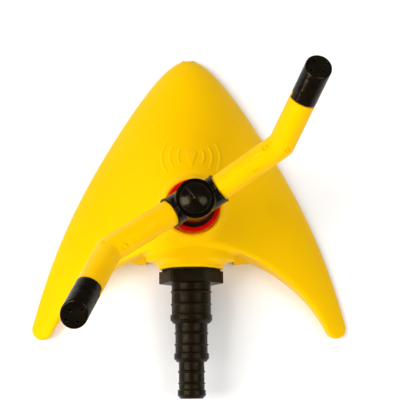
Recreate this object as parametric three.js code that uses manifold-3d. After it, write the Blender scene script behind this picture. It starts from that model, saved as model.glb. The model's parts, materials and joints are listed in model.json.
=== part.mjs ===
// Rotary two-arm lawn sprinkler on a delta-wing sled base.
// Millimetres, +Z up. +Y points to the nose of the base, the hose goes out along -Y.
// The origin is the middle of the footprint, on the ground.
import * as THREE from "three";
import { mergeVertices } from "three/addons/utils/BufferGeometryUtils.js";
import Module from "manifold-3d";

// ---------------------------------------------------------------- driving dimensions
const GAP = 0.3; // left between pieces that touch
const SIDES = 24; // facets round a turned piece
const WIDE_SIDES = 32; // and round the widest ones

// Base
const NOSE_Y = 107.2;
const HALF_WIDTH = 97.8;
const RIM = 2; // height of the skin's edge
const CROWN_RISE = 41; // top of the ridge over the rim, behind the riser
const CROWN_Y = -15; // where the ridge is highest
const SKIN = 2.6; // wall thickness of the moulding
const REAR_ARC_R = 96.5; // concave rear edge, one arc from tip to tip
const TIP_R = 6.5;
const TIP_X = HALF_WIDTH - TIP_R;
const TIP_Y = -63.8;
const LIP_R = 3; // rolled top of the rear wall
const RIB = 2.2; // thickness of the stiffening ribs
const RIB_FOOT = 8; // the ribs end this far above the ground
const KEEL_END_Y = 97;
const CROSS_RIB_X = 70;
const FOOT_X = 32.5; // small feet under the rear lip, beside the inlet
const FOOT_WIDTH = 11;
const FOOT_END_Y = -23.5;
const FOOT_LENGTH = 6.5;
const FOOT_HEIGHT = 6; // at its back, and FOOT_SLOPE more at the wall
const FOOT_SLOPE = 8;

// Riser and swivel, stacked on the spin axis
const SPIN_Y = 6.5;
const COLLAR_R = 19;
const COLLAR_ROOT = 24;
const COLLAR_TOP = 46;
const WELL_R = 16.5; // recess in the collar that the lock nut sits in
const WELL_FLOOR = 45;
const RISER_R = 13.8;
const RISER_TOP = 49;
const RISER_BORE_R = 9.9;
const COLUMN_FOOT = 6;
const NUT_R = 16.1;
const NUT_TEETH = 84;
const NUT_TOOTH_DEPTH = 0.6;
const NUT_HEIGHT = 7.6;
const NUT_WINDOW_R = 13.1;
const SEAL_THICK = 0.8;
const BUSH_FLANGE_T = 1.3;
const BUSH_R = 9.6;
const BUSH_BOTTOM = 33;
const BUSH_STEP_R = 11.4;
const BUSH_STEP = 0.7;
const SPINDLE_R = 6.7;
const SPINDLE_BORE_R = 4.6;
const SPINDLE_BOTTOM = 26;
const SPINDLE_TOP = 60.2;

// Inlet and hose connector, along -Y
const INLET_Z = 20.5;
const BOSS_R = 19.8;
const BOSS_END_Y = -28.7;
const FLARE_R = 27; // the boss runs out into the rear wall in a wide cone
const FLARE_TOP = 39.5;
const FLARE_END = 27;
const SOCKET_R = 13.2;
const SOCKET_FLOOR = 11; // this, FLARE_END and CONNECTOR_START are distances from the origin along -Y
const WATER_R = 7;
const PIPE_WALL = 3;
const CONNECTOR_START = 13.5;
const HEX_FRONT_Y = -37.4;
const HEX_R = 20.1;
const HEX_TURN = 9; // degrees that the hexagon stops short of level
const TAIL_END_Y = -107.2;
const TAIL_BORE_R = 5.5;
const TAIL_STEPS = [
  { core: 12, end: -61.7, rings: [-42.5, -50.1] }, // for 25 mm hose
  { core: 9.8, end: -85.1, rings: [-67.8, -74.7] }, // for 20 mm hose
  { core: 7.75, end: TAIL_END_Y, rings: [-91, -98] }, // for 16 mm hose
];
const BARB = 0.8; // height of a barb over its core
const RING_HALF = 0.7;
const END_BARB = 5.2; // length of the barb that ends each step
const END_TAPER = 2.4;
const LEAD_IN = 1.2;

// Head
const ARM_ROOT_Z = 66; // height of the arm axes at the spin axis
const HUB_R = 11.7;
const HUB_BOTTOM = 58;
const HUB_TOP = 80;
const NECK_R = 9.6;
const NECK_BOTTOM = 55.6;
const GROOVE_R = 10.8; // outer wall of the ring groove around the dome
const DOME_R = 9.7;
const DOME_RISE = 3.5;
const PLUG_R = 4.3;
const PLUG_BOTTOM = 74.5;
const PLUG_GROOVE_R = 3.2; // the dome's seal sits in this groove
const PLUG_GROOVE_BOTTOM = 75.4;
const PLUG_GROOVE_TOP = 77;
const GROOVE_DEPTH = 1.8;
const SLEEVE_R = 9;
const SLEEVE_LENGTH = 17; // from the spin axis to the mouth, along the arm
const ARM_START = 9.2; // inner end of the pipe, from the spin axis
const CHAMBER_R = 6;
const CHAMBER_TOP = 72;

// Arms: one bent pipe used twice, half a turn apart
const ARM_AZIMUTH = 33.7; // degrees from +X, of the right arm's inner stretch
const ARM_OFFSET = 1.9; // each arm's axis passes this far beside the spin axis
const INNER_RISE = 16.5;
const INNER_LENGTH = 61; // spin axis to bend
const OUTER_TURN = 30.7; // degrees that the outer stretch turns off the inner one in plan
const OUTER_RISE = 36.5;
const PIPE_R = 7.9;
const PIPE_BORE_R = 5.6;
const SPIGOT_R = 6.9; // reduced end that the nozzle cap is pushed on
const SPIGOT_BORE_R = 5;
const PIPE_END = 30.5; // bend to shoulder
const SPIGOT_END = 44;
const SEAL_AT = 39.7; // groove round the spigot, from the bend
const SEAL_GROOVE_DEPTH = 1.1;
const SEAL_WIDTH = 1.6;

// Nozzle caps
const FACE_AT = 53.5; // bend to the middle of the oblique end face
const FACE_TILT = 25.5; // degrees that the face looks up from the pipe's axis
const CAP_BORE_R = 7.2;
const CAP_CHAMBER_R = 6.3;
const CAP_WALL = 2;
const JET_R = 0.8;
const JETS = [[-3.1, 5], [3.1, 1.6], [-3.6, -2.8], [3, -4.6]]; // across, up the face
const KEY_WIDTH = 2.2;
const KEY_LENGTH = 2.8;
const CAP_TURN = 12; // degrees each way that the key leaves free

// ---------------------------------------------------------------- materials
const plastic = (color, roughness) => new THREE.MeshStandardMaterial({ color, roughness, metalness: 0 });
const YELLOW = plastic(0xfdce00, 0.42);
const RED = plastic(0xb80a04, 0.45);
const GLOSS_BLACK = plastic(0x14100b, 0.22);
const MATT_BLACK = plastic(0x2c2418, 0.55);
const RUBBER = plastic(0x0d0d0d, 0.8);
const WHITE = plastic(0xe8e6df, 0.5);
const ACETAL = plastic(0xd8d4c8, 0.4);

// ---------------------------------------------------------------- solids and booleans
const wasm = await Module();
wasm.setup();

const radians = THREE.MathUtils.degToRad;

function solid(geometry) {
  const bare = geometry.clone();
  bare.deleteAttribute("normal");
  bare.deleteAttribute("uv");
  const merged = mergeVertices(bare, 1e-4);
  return new wasm.Manifold(
    new wasm.Mesh({
      numProp: 3,
      vertProperties: new Float32Array(merged.attributes.position.array),
      triVerts: new Uint32Array(merged.index.array),
    }),
  );
}

function join(...solids) {
  return solids.reduce((whole, next) => whole.add(next));
}

function cut(body, ...tools) {
  return tools.reduce((rest, tool) => rest.subtract(tool), body);
}

function piece(name, body, material) {
  const made = body.getMesh();
  const geometry = new THREE.BufferGeometry();
  geometry.setAttribute("position", new THREE.BufferAttribute(made.vertProperties, 3));
  geometry.setIndex(new THREE.BufferAttribute(made.triVerts, 1));
  geometry.computeVertexNormals();
  const mesh = new THREE.Mesh(geometry, material);
  mesh.name = name;
  return mesh;
}

// Revolves an outline of [radius, z] points about Z. The outline runs anticlockwise: up its outer side.
function revolve(outline, segments = SIDES) {
  const points = outline.map(([r, z]) => new THREE.Vector2(r, z));
  if (outline[0][0] > 0) points.push(points[0].clone());
  return new THREE.LatheGeometry(points, segments).rotateX(Math.PI / 2);
}

function disc(radius, bottom, top, segments = SIDES) {
  return revolve([[0, bottom], [radius, bottom], [radius, top], [0, top]], segments);
}

function ring(inner, outer, bottom, top, segments = SIDES) {
  return revolve([[inner, bottom], [outer, bottom], [outer, top], [inner, top]], segments);
}

function box(x0, x1, y0, y1, z0, z1) {
  const made = new THREE.BoxGeometry(x1 - x0, y1 - y0, z1 - z0);
  return made.translate((x0 + x1) / 2, (y0 + y1) / 2, (z0 + z1) / 2);
}

// Turns a shape made about Z so that its Z runs along +X.
function alongX(geometry) {
  return geometry.rotateY(Math.PI / 2);
}

// Turns a shape made about Z into the inlet's axis: z becomes -y, centred at INLET_Z.
function alongInlet(geometry) {
  return geometry.rotateX(Math.PI / 2).translate(0, 0, INLET_Z);
}

// ---------------------------------------------------------------- base outline and surface
// A hyperbola-like sweep with a round nose, and a hook that brings it round to the tip.
const NOSE_SPREAD = 18.85;
const SWEEP_DEPTH = 25.9;
const SWEEP_POWER = 1.114;
const TIP_HOOK = 31.4;
const TIP_HOOK_POWER = 6.6;

function leadingEdge(x, inset) {
  const across = Math.max(Math.abs(x), 0.001);
  const curl = 1 + (across / NOSE_SPREAD) ** 2;
  const sweep = SWEEP_DEPTH * (curl ** (SWEEP_POWER / 2) - 1);
  const hook = TIP_HOOK * (across / HALF_WIDTH) ** TIP_HOOK_POWER;
  const sweepSlope = ((SWEEP_DEPTH * SWEEP_POWER * across) / NOSE_SPREAD ** 2) * curl ** (SWEEP_POWER / 2 - 1);
  const slope = sweepSlope + (TIP_HOOK_POWER * hook) / across;
  return NOSE_Y - sweep - hook - inset * Math.sqrt(1 + slope * slope);
}

// The rear arc's centre lies on X = 0, where the arc runs smoothly into the tip's own arc.
const REAR_ARC_Y = TIP_Y - Math.sqrt((REAR_ARC_R + TIP_R) ** 2 - TIP_X ** 2);
const ARC_MEETS_TIP_X = (TIP_X * REAR_ARC_R) / (REAR_ARC_R + TIP_R);

function rearEdge(x, inset) {
  const across = Math.abs(x);
  if (across < ARC_MEETS_TIP_X) return REAR_ARC_Y + Math.sqrt((REAR_ARC_R + inset) ** 2 - across ** 2);
  return TIP_Y - Math.sqrt(Math.max((TIP_R - inset) ** 2 - (across - TIP_X) ** 2, 0));
}

function halfWidthAt(y) {
  let low = 0;
  let high = HALF_WIDTH;
  for (let step = 0; step < 30; step++) {
    const middle = (low + high) / 2;
    if (leadingEdge(middle, 0) > y) low = middle;
    else high = middle;
  }
  return Math.max(high, 0.5);
}

function crownAt(y) {
  if (y < CROWN_Y) return CROWN_RISE - 0.0034 * (y - CROWN_Y) ** 2;
  const along = (y - CROWN_Y) / (NOSE_Y - CROWN_Y);
  return CROWN_RISE * Math.pow(Math.max(1 - Math.pow(along, 2.2), 0), 0.62);
}

// Height of the outer skin: one arch from edge to edge, and a soft mound round the riser.
const ARCH_SHARE = 0.62;
const ARCH_POWER = 0.72;
const MOUND_WIDTH = 34;
const MOUND_LENGTH = 45;

function skinHeight(x, y) {
  const u = Math.min(Math.abs(x) / halfWidthAt(y), 1);
  const room = 1 - u * u;
  const ahead = Math.max(y - SPIN_Y, 0);
  const mound = room * Math.exp(-((x / MOUND_WIDTH) ** 2) - (ahead / MOUND_LENGTH) ** 2);
  return RIM + crownAt(y) * (ARCH_SHARE * room ** ARCH_POWER + (1 - ARCH_SHARE) * mound);
}

// One closed wing-shaped solid, built from chordwise sections. The inset one is the hollow below the skin.
function wingBody(inset, floor, sections, chordSteps) {
  const reach = HALF_WIDTH - 1.5 * inset;
  const lipSteps = inset ? 1 : 3;
  const rows = [];
  for (let i = 0; i <= sections; i++) {
    const x = reach * Math.sin((Math.PI / 2) * ((2 * i) / sections - 1));
    const rear = rearEdge(x, inset);
    const front = Math.max(leadingEdge(x, inset), rear + 0.4);
    const lip = Math.min(LIP_R, (front - rear) * 0.4, skinHeight(x, rear + LIP_R) * 0.45 + 0.2);
    const height = (y) => Math.max(skinHeight(x, y) - (inset ? inset * 1.3 : 0), floor + 0.3);
    const row = [[x, front, floor]];
    for (let j = inset ? 0 : 1; j <= chordSteps; j++) {
      const y = front + (rear + lip - front) * Math.pow(j / chordSteps, 1.8);
      row.push([x, y, height(y)]);
    }
    for (let k = 1; k <= lipSteps; k++) {
      const turn = (Math.PI / 2) * (k / lipSteps);
      row.push([x, rear + lip * (1 - Math.sin(turn)), height(rear + lip) - lip * 0.95 * (1 - Math.cos(turn))]);
    }
    row.push([x, rear, floor]);
    rows.push(row);
  }
  return loft(rows);
}

// Skins a list of closed rows, each seen anticlockwise from +X, and fans the two ends shut.
function loft(rows) {
  const size = rows[0].length;
  const index = [];
  for (let i = 0; i + 1 < rows.length; i++) {
    for (let j = 0; j < size; j++) {
      const next = (j + 1) % size;
      const a = i * size + j;
      const b = i * size + next;
      const c = (i + 1) * size + next;
      const d = (i + 1) * size + j;
      index.push(a, b, c, a, c, d);
    }
  }
  const last = (rows.length - 1) * size;
  for (let j = 1; j + 1 < size; j++) {
    index.push(0, j + 1, j);
    index.push(last, last + j, last + j + 1);
  }
  const geometry = new THREE.BufferGeometry();
  geometry.setAttribute("position", new THREE.Float32BufferAttribute(rows.flat(2), 3));
  geometry.setIndex(index);
  return geometry;
}

// ---------------------------------------------------------------- base pieces
function baseShell() {
  const outside = solid(wingBody(0, 0, 36, 11));
  const hollow = solid(wingBody(SKIN, -1, 26, 8));
  const atSpin = (geometry) => solid(geometry.translate(0, SPIN_Y, 0));
  const onInlet = (geometry) => solid(alongInlet(geometry));

  const column = atSpin(disc(RISER_R, COLUMN_FOOT, RISER_TOP));
  const collar = atSpin(revolve([
    [0, COLLAR_ROOT], [COLLAR_R + 1.5, COLLAR_ROOT], [COLLAR_R + 1.5, COLLAR_ROOT + 6],
    [COLLAR_R, COLLAR_TOP - 8], [COLLAR_R, COLLAR_TOP - 1.6], [COLLAR_R - 0.5, COLLAR_TOP - 0.5],
    [COLLAR_R - 1.6, COLLAR_TOP], [0, COLLAR_TOP],
  ], WIDE_SIDES));
  const collarCore = atSpin(ring(RISER_R, COLLAR_R - SKIN, COLLAR_ROOT - 4, WELL_FLOOR - SKIN));
  const well = atSpin(ring(RISER_R, WELL_R, WELL_FLOOR, RISER_TOP + 1, WIDE_SIDES));
  const overCollar = atSpin(disc(COLLAR_R, COLLAR_TOP, RISER_TOP));

  const boss = onInlet(disc(BOSS_R, SOCKET_FLOOR - 1, -BOSS_END_Y, WIDE_SIDES));
  const cone = onInlet(revolve([
    [0, SOCKET_FLOOR], [FLARE_R, SOCKET_FLOOR], [FLARE_R, FLARE_END - 3.6], [BOSS_R + 1, FLARE_END - 1],
    [BOSS_R - 0.1, FLARE_END], [0, FLARE_END],
  ], WIDE_SIDES));
  const flare = cone.intersect(solid(box(-FLARE_R, FLARE_R, BOSS_END_Y, 0, 0, FLARE_TOP)));
  const pipe = onInlet(disc(WATER_R + PIPE_WALL, -SPIN_Y, SOCKET_FLOOR + 1));
  const socket = onInlet(disc(SOCKET_R, SOCKET_FLOOR, 1 - BOSS_END_Y));
  const waterway = onInlet(disc(WATER_R, -SPIN_Y, SOCKET_FLOOR + 1));
  const riserBore = atSpin(disc(RISER_BORE_R, INLET_Z - WATER_R - 2, RISER_TOP + 1));

  const keel = solid(box(-RIB / 2, RIB / 2, SPIN_Y + RISER_R - 1, KEEL_END_Y, RIB_FOOT, RIM + CROWN_RISE));
  const crossRib = solid(box(
    -CROSS_RIB_X, CROSS_RIB_X, SPIN_Y - RIB / 2, SPIN_Y + RIB / 2, RIB_FOOT, RIM + CROWN_RISE,
  ));
  const ribs = join(keel, crossRib).intersect(outside);
  const feet = [-1, 1].map((side) => {
    const profile = new THREE.Shape([
      new THREE.Vector2(FOOT_END_Y, 0),
      new THREE.Vector2(FOOT_END_Y + FOOT_LENGTH, 0),
      new THREE.Vector2(FOOT_END_Y + FOOT_LENGTH, FOOT_HEIGHT + FOOT_SLOPE),
      new THREE.Vector2(FOOT_END_Y, FOOT_HEIGHT),
    ]);
    const foot = new THREE.ExtrudeGeometry(profile, { depth: FOOT_WIDTH, bevelEnabled: false, steps: 1 });
    foot.rotateY(Math.PI / 2).rotateX(Math.PI / 2);
    return solid(foot.translate(side * FOOT_X - FOOT_WIDTH / 2, 0, 0));
  });

  const shell = cut(join(outside, collar), hollow, collarCore);
  const aboveGround = solid(box(-HALF_WIDTH, HALF_WIDTH, -NOSE_Y, NOSE_Y, 0, COLLAR_TOP));
  const whole = join(shell, ribs, boss, flare, pipe, ...feet).intersect(aboveGround);
  return join(cut(whole, overCollar, well), column).subtract(join(riserBore, waterway, socket));
}

// Turned outline of the connector outside its bore: thread, then three stepped and barbed cores.
function connectorOutline() {
  const thread = SOCKET_R - GAP;
  const shoulder = -HEX_FRONT_Y - 3;
  const outline = [[0, CONNECTOR_START], [thread, CONNECTOR_START], [thread, shoulder]];
  let from = shoulder;
  for (const { core, end, rings } of TAIL_STEPS) {
    outline.push([core, from]);
    for (const y of rings) {
      outline.push([core, -y - RING_HALF], [core + BARB - 0.2, -y], [core, -y + RING_HALF]);
    }
    outline.push([core, -end - END_BARB - 0.4], [core + BARB, -end - END_BARB]);
    outline.push([core + BARB, -end - END_TAPER], [core - LEAD_IN, -end]);
    from = -end;
  }
  outline.push([0, from]);
  return outline;
}

function hoseConnector() {
  const tail = solid(alongInlet(revolve(connectorOutline())));
  const hexFront = -HEX_FRONT_Y;
  const hexBack = -BOSS_END_Y + SEAL_THICK + 2 * GAP;
  const hexagon = new THREE.CylinderGeometry(HEX_R, HEX_R, hexFront - hexBack, 6).rotateX(Math.PI / 2);
  hexagon.rotateZ(radians(90 + HEX_TURN)).translate(0, 0, (hexFront + hexBack) / 2);
  const hex = solid(alongInlet(hexagon));
  const through = solid(alongInlet(disc(TAIL_BORE_R, CONNECTOR_START - 1, 1 - TAIL_END_Y)));
  return cut(join(tail, hex), through);
}

function inletGasket() {
  const back = -BOSS_END_Y + GAP;
  return solid(alongInlet(ring(SOCKET_R + 0.4, 18, back, back + SEAL_THICK)));
}

function lockNut() {
  const bottom = WELL_FLOOR + 2 * GAP;
  const top = bottom + NUT_HEIGHT;
  const shape = new THREE.Shape();
  for (let i = 0; i < 2 * NUT_TEETH; i++) {
    const angle = (Math.PI * i) / NUT_TEETH;
    const radius = NUT_R - (i % 2 ? NUT_TOOTH_DEPTH : 0);
    const point = [radius * Math.cos(angle), radius * Math.sin(angle)];
    if (i) shape.lineTo(...point);
    else shape.moveTo(...point);
  }
  const knurled = new THREE.ExtrudeGeometry(shape, { depth: NUT_HEIGHT, bevelEnabled: false, steps: 1 });
  const threads = disc(RISER_R + GAP, bottom - 1, top - 1.2);
  const window = disc(NUT_WINDOW_R, top - 2, top + 1);
  return cut(solid(knurled.translate(0, 0, bottom)), solid(threads), solid(window));
}

const sealBottom = RISER_TOP + GAP;
const flangeBottom = sealBottom + SEAL_THICK + GAP;
const flangeTop = flangeBottom + BUSH_FLANGE_T;
const bushTop = NECK_BOTTOM - 2 * GAP - SEAL_THICK;

function swivelBush() {
  const bore = SPINDLE_R + GAP;
  return solid(revolve([
    [bore, BUSH_BOTTOM], [BUSH_R, BUSH_BOTTOM], [BUSH_R, flangeBottom], [RISER_R, flangeBottom],
    [RISER_R, flangeTop], [NUT_WINDOW_R - GAP, flangeTop], [NUT_WINDOW_R - GAP, bushTop - BUSH_STEP],
    [BUSH_STEP_R, bushTop - BUSH_STEP], [BUSH_STEP_R, bushTop], [bore, bushTop],
  ], WIDE_SIDES));
}

// ---------------------------------------------------------------- head pieces
const washerBottom = BUSH_BOTTOM - GAP - 1;
const clipTop = washerBottom - GAP;
const clipBottom = clipTop - 3;

function spindle() {
  const groove = SPINDLE_R - 0.8;
  return solid(revolve([
    [SPINDLE_BORE_R, SPINDLE_BOTTOM], [SPINDLE_R, SPINDLE_BOTTOM], [SPINDLE_R, clipBottom - GAP],
    [groove, clipBottom - GAP], [groove, clipTop + GAP], [SPINDLE_R, clipTop + GAP],
    [SPINDLE_R, SPINDLE_TOP], [SPINDLE_BORE_R, SPINDLE_TOP],
  ]));
}

// Frames of one arm, in the head's frame: x runs along the stretch of pipe, z leans up from it.
function armFrames(side) {
  const turned = new THREE.Matrix4().makeRotationZ(radians(ARM_AZIMUTH) + side * Math.PI);
  const root = new THREE.Matrix4().makeTranslation(0, -ARM_OFFSET, ARM_ROOT_Z);
  const inner = new THREE.Matrix4().makeRotationY(-radians(INNER_RISE));
  const bend = new THREE.Vector3(INNER_LENGTH, 0, 0).applyMatrix4(inner);
  const toBend = new THREE.Matrix4().makeTranslation(bend.x, bend.y, bend.z);
  const outer = new THREE.Matrix4().makeRotationZ(radians(OUTER_TURN));
  outer.multiply(new THREE.Matrix4().makeRotationY(-radians(OUTER_RISE)));
  return {
    inner: turned.clone().multiply(root).multiply(inner),
    outer: turned.clone().multiply(root).multiply(toBend).multiply(outer),
  };
}

function headHub() {
  const neck = solid(disc(NECK_R, NECK_BOTTOM, HUB_BOTTOM + 1));
  const drum = solid(disc(HUB_R, HUB_BOTTOM, HUB_TOP, WIDE_SIDES));
  const chamber = join(
    solid(disc(SPINDLE_R + GAP, NECK_BOTTOM - 1, SPINDLE_TOP + GAP)),
    solid(disc(CHAMBER_R, SPINDLE_TOP, CHAMBER_TOP)),
    solid(disc(PLUG_R + GAP, CHAMBER_TOP - 1, HUB_TOP)),
    solid(disc(GROOVE_R, HUB_TOP - GROOVE_DEPTH, HUB_TOP + 1, WIDE_SIDES)),
  );
  const sleeves = [];
  const sockets = [];
  for (const side of [0, 1]) {
    const { inner } = armFrames(side);
    const along = (radius, from, to) => solid(alongX(disc(radius, from, to)).applyMatrix4(inner));
    sleeves.push(along(SLEEVE_R, 2, SLEEVE_LENGTH));
    sockets.push(along(PIPE_R + GAP, ARM_START - 1.5, SLEEVE_LENGTH + 1), along(PIPE_BORE_R, 0, ARM_START));
  }
  return cut(join(neck, drum, ...sleeves), chamber, ...sockets);
}

function domeCap() {
  const floor = HUB_TOP - GROOVE_DEPTH + GAP;
  const outline = [
    [0, PLUG_BOTTOM], [PLUG_R, PLUG_BOTTOM], [PLUG_R, PLUG_GROOVE_BOTTOM], [PLUG_GROOVE_R, PLUG_GROOVE_BOTTOM],
    [PLUG_GROOVE_R, PLUG_GROOVE_TOP], [PLUG_R, PLUG_GROOVE_TOP], [PLUG_R, floor], [DOME_R, floor],
    [DOME_R, HUB_TOP - 0.2],
  ];
  const steps = 6;
  const curve = (DOME_R ** 2 + DOME_RISE ** 2) / (2 * DOME_RISE);
  const sweep = Math.asin(DOME_R / curve);
  for (let i = 0; i <= steps; i++) {
    const angle = sweep * (1 - i / steps);
    const height = HUB_TOP + DOME_RISE - curve * (1 - Math.cos(angle));
    outline.push([curve * Math.sin(angle), height + 0.01]);
  }
  return solid(revolve(outline));
}

function domeSeal() {
  return solid(ring(PLUG_GROOVE_R + GAP, PLUG_R, PLUG_GROOVE_BOTTOM + GAP, PLUG_GROOVE_TOP - GAP));
}

function arm(side) {
  const { inner, outer } = armFrames(side);
  const rod = (frame, radius, from, to) => solid(alongX(disc(radius, from, to)).applyMatrix4(frame));
  const elbow = (radius) => {
    const ball = new THREE.SphereGeometry(radius, SIDES, SIDES / 2);
    return solid(ball.rotateY(Math.PI / 2).applyMatrix4(outer));
  };
  const keyBox = box(
    PIPE_END - 1, PIPE_END + KEY_LENGTH, SPIGOT_R - 1, PIPE_R - 0.1, -KEY_WIDTH / 2, KEY_WIDTH / 2,
  );
  const groove = alongX(ring(SPIGOT_R - SEAL_GROOVE_DEPTH, PIPE_R, SEAL_AT, SEAL_AT + SEAL_WIDTH + 2 * GAP));
  const outside = join(
    rod(inner, PIPE_R, ARM_START, INNER_LENGTH),
    elbow(PIPE_R),
    rod(outer, PIPE_R, 0, PIPE_END),
    rod(outer, SPIGOT_R, 0, SPIGOT_END),
    solid(keyBox.applyMatrix4(outer)),
  );
  const inside = join(
    rod(inner, PIPE_BORE_R, ARM_START - 1, INNER_LENGTH),
    elbow(PIPE_BORE_R),
    rod(outer, SPIGOT_BORE_R, 0, SPIGOT_END + 1),
  );
  return cut(outside, inside, solid(groove.applyMatrix4(outer)));
}

function armSeal(side) {
  const from = ARM_START - 1.5 + GAP;
  const washer = alongX(ring(PIPE_BORE_R, PIPE_R - 0.2, from, ARM_START - GAP));
  return solid(washer.applyMatrix4(armFrames(side).inner));
}

function nozzleSeal(side) {
  const washer = alongX(ring(
    SPIGOT_R - SEAL_GROOVE_DEPTH + GAP, SPIGOT_R, SEAL_AT + GAP, SEAL_AT + GAP + SEAL_WIDTH,
  ));
  return solid(washer.applyMatrix4(armFrames(side).outer));
}

// The cap is made along +X in the outer stretch's frame and ends in a face that looks up at FACE_TILT.
function nozzleCap(side) {
  const { outer } = armFrames(side);
  const shell = solid(alongX(disc(PIPE_R, PIPE_END + GAP, FACE_AT + 8)));
  const bore = solid(alongX(disc(CAP_BORE_R, PIPE_END, SPIGOT_END + 0.6)));
  const chamber = solid(alongX(disc(CAP_CHAMBER_R, SPIGOT_END, FACE_AT + 8)));
  const face = new THREE.Matrix4().makeTranslation(FACE_AT, 0, 0);
  face.multiply(new THREE.Matrix4().makeRotationY(-radians(FACE_TILT)));
  const beyond = (from) => solid(box(from, from + 30, -20, 20, -20, 20).applyMatrix4(face));
  const jets = JETS.map(([across, up]) => {
    return solid(alongX(disc(JET_R, -CAP_WALL - 1.5, 1, 12)).translate(0, -across, up).applyMatrix4(face));
  });
  const room = KEY_WIDTH / 2 + GAP + PIPE_R * radians(CAP_TURN);
  const slot = solid(box(PIPE_END, PIPE_END + KEY_LENGTH + 2 * GAP, CAP_BORE_R - 3, PIPE_R + 1, -room, room));
  const hollow = join(bore, cut(chamber, beyond(-CAP_WALL)));
  const cap = cut(shell, beyond(0), hollow, slot, ...jets);
  const mesh = piece(side ? "nozzle_cap_left" : "nozzle_cap_right", cap, GLOSS_BLACK);
  mesh.applyMatrix4(outer);
  return mesh;
}

// ---------------------------------------------------------------- assembly
const sprinkler = new THREE.Group();
sprinkler.add(
  piece("base_shell", baseShell(), YELLOW),
  piece("hose_connector", hoseConnector(), MATT_BLACK),
  piece("inlet_gasket", inletGasket(), RUBBER),
);

const swivel = new THREE.Group();
swivel.position.set(0, SPIN_Y, 0);
const riserWasher = ring(RISER_BORE_R + 0.4, RISER_R - GAP, sealBottom, sealBottom + SEAL_THICK);
swivel.add(
  piece("lock_nut", lockNut(), RED),
  piece("riser_seal", solid(riserWasher), RUBBER),
  piece("swivel_bush", swivelBush(), GLOSS_BLACK),
);

const head = new THREE.Group();
head.position.copy(swivel.position);
const upperWasher = ring(SPINDLE_R + GAP, NECK_R - GAP, bushTop + GAP, bushTop + GAP + SEAL_THICK);
const lowerWasher = ring(SPINDLE_R + GAP, BUSH_R - 0.2, washerBottom, washerBottom + 1);
const clip = ring(SPINDLE_R - 0.5, BUSH_R - 0.2, clipBottom, clipTop);
head.add(
  piece("upper_thrust_washer", solid(upperWasher), WHITE),
  piece("lower_thrust_washer", solid(lowerWasher), WHITE),
  piece("spindle_clip", solid(clip), ACETAL),
  piece("spindle", spindle(), ACETAL),
  piece("head_hub", headHub(), GLOSS_BLACK),
  piece("dome_cap", domeCap(), GLOSS_BLACK),
  piece("dome_seal", domeSeal(), RUBBER),
);
for (const side of [0, 1]) {
  const hand = side ? "left" : "right";
  head.add(
    piece("arm_" + hand, arm(side), YELLOW),
    piece("arm_seal_" + hand, armSeal(side), RUBBER),
    piece("nozzle_seal_" + hand, nozzleSeal(side), RUBBER),
    nozzleCap(side),
  );
}
sprinkler.add(swivel, head);

export default sprinkler;
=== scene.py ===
import json
import math

import bpy
import numpy as np
from mathutils import Matrix, Vector


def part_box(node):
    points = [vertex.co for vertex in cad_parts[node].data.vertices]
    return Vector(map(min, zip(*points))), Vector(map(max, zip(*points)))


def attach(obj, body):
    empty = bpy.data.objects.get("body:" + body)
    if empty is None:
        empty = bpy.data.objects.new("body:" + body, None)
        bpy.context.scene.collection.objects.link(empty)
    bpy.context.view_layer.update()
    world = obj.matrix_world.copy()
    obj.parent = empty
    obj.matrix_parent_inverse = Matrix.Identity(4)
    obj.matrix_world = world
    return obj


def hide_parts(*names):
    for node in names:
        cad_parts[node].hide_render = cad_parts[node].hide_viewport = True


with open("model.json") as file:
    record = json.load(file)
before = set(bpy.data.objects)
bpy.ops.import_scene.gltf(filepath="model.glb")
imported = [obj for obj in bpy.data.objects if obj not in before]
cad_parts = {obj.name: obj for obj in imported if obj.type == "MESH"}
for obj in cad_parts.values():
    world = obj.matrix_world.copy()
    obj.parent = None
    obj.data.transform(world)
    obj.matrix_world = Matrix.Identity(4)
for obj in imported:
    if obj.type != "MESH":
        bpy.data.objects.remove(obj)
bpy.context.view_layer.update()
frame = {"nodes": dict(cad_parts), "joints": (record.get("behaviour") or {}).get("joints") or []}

MM = 0.001


def span(node):
    """Lowest and highest corner of a CAD node, in millimetres."""
    low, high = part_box(node)
    return low / MM, high / MM


joints = {joint["name"]: joint for joint in frame["joints"]}

# ---------------------------------------------------------------- driving dimensions, mm
SPIN_Y = joints["head_spin"]["pos_m"][1] / MM
NOSE_Y = span("base_shell")[1].y
HALF_WIDTH = span("base_shell")[1].x
RISER_TOP = span("base_shell")[1].z
HUB_TOP = span("head_hub")[1].z
NECK_BOTTOM = span("head_hub")[0].z
DOME_TOP = span("dome_cap")[1].z
TAIL_END_Y = span("hose_connector")[0].y
NUT_BOTTOM = span("lock_nut")[0].z
NUT_TOP = span("lock_nut")[1].z
BUSH_BOTTOM = span("swivel_bush")[0].z
BUSH_TOP = span("swivel_bush")[1].z

GAP = 0.3
RIM = 2
CROWN_RISE = 41
CROWN_Y = -15
SKIN = 2.6
REAR_ARC_R = 96.5
TIP_R = 6.5
TIP_X = HALF_WIDTH - TIP_R
TIP_Y = -63.8
LIP_R = 3
LIP_FADE = 18
RIB = 2.2
RIB_BOTTOM = 8
KEEL_END_Y = 97
CROSS_RIB_X = 70
FOOT_X = 32.5
FOOT_WIDTH = 11
FOOT_END_Y = -23.5
FOOT_LENGTH = 6.5
FOOT_HEIGHT = 6
FOOT_SLOPE = 8
FOOT_SKEW = 0.12

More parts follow.
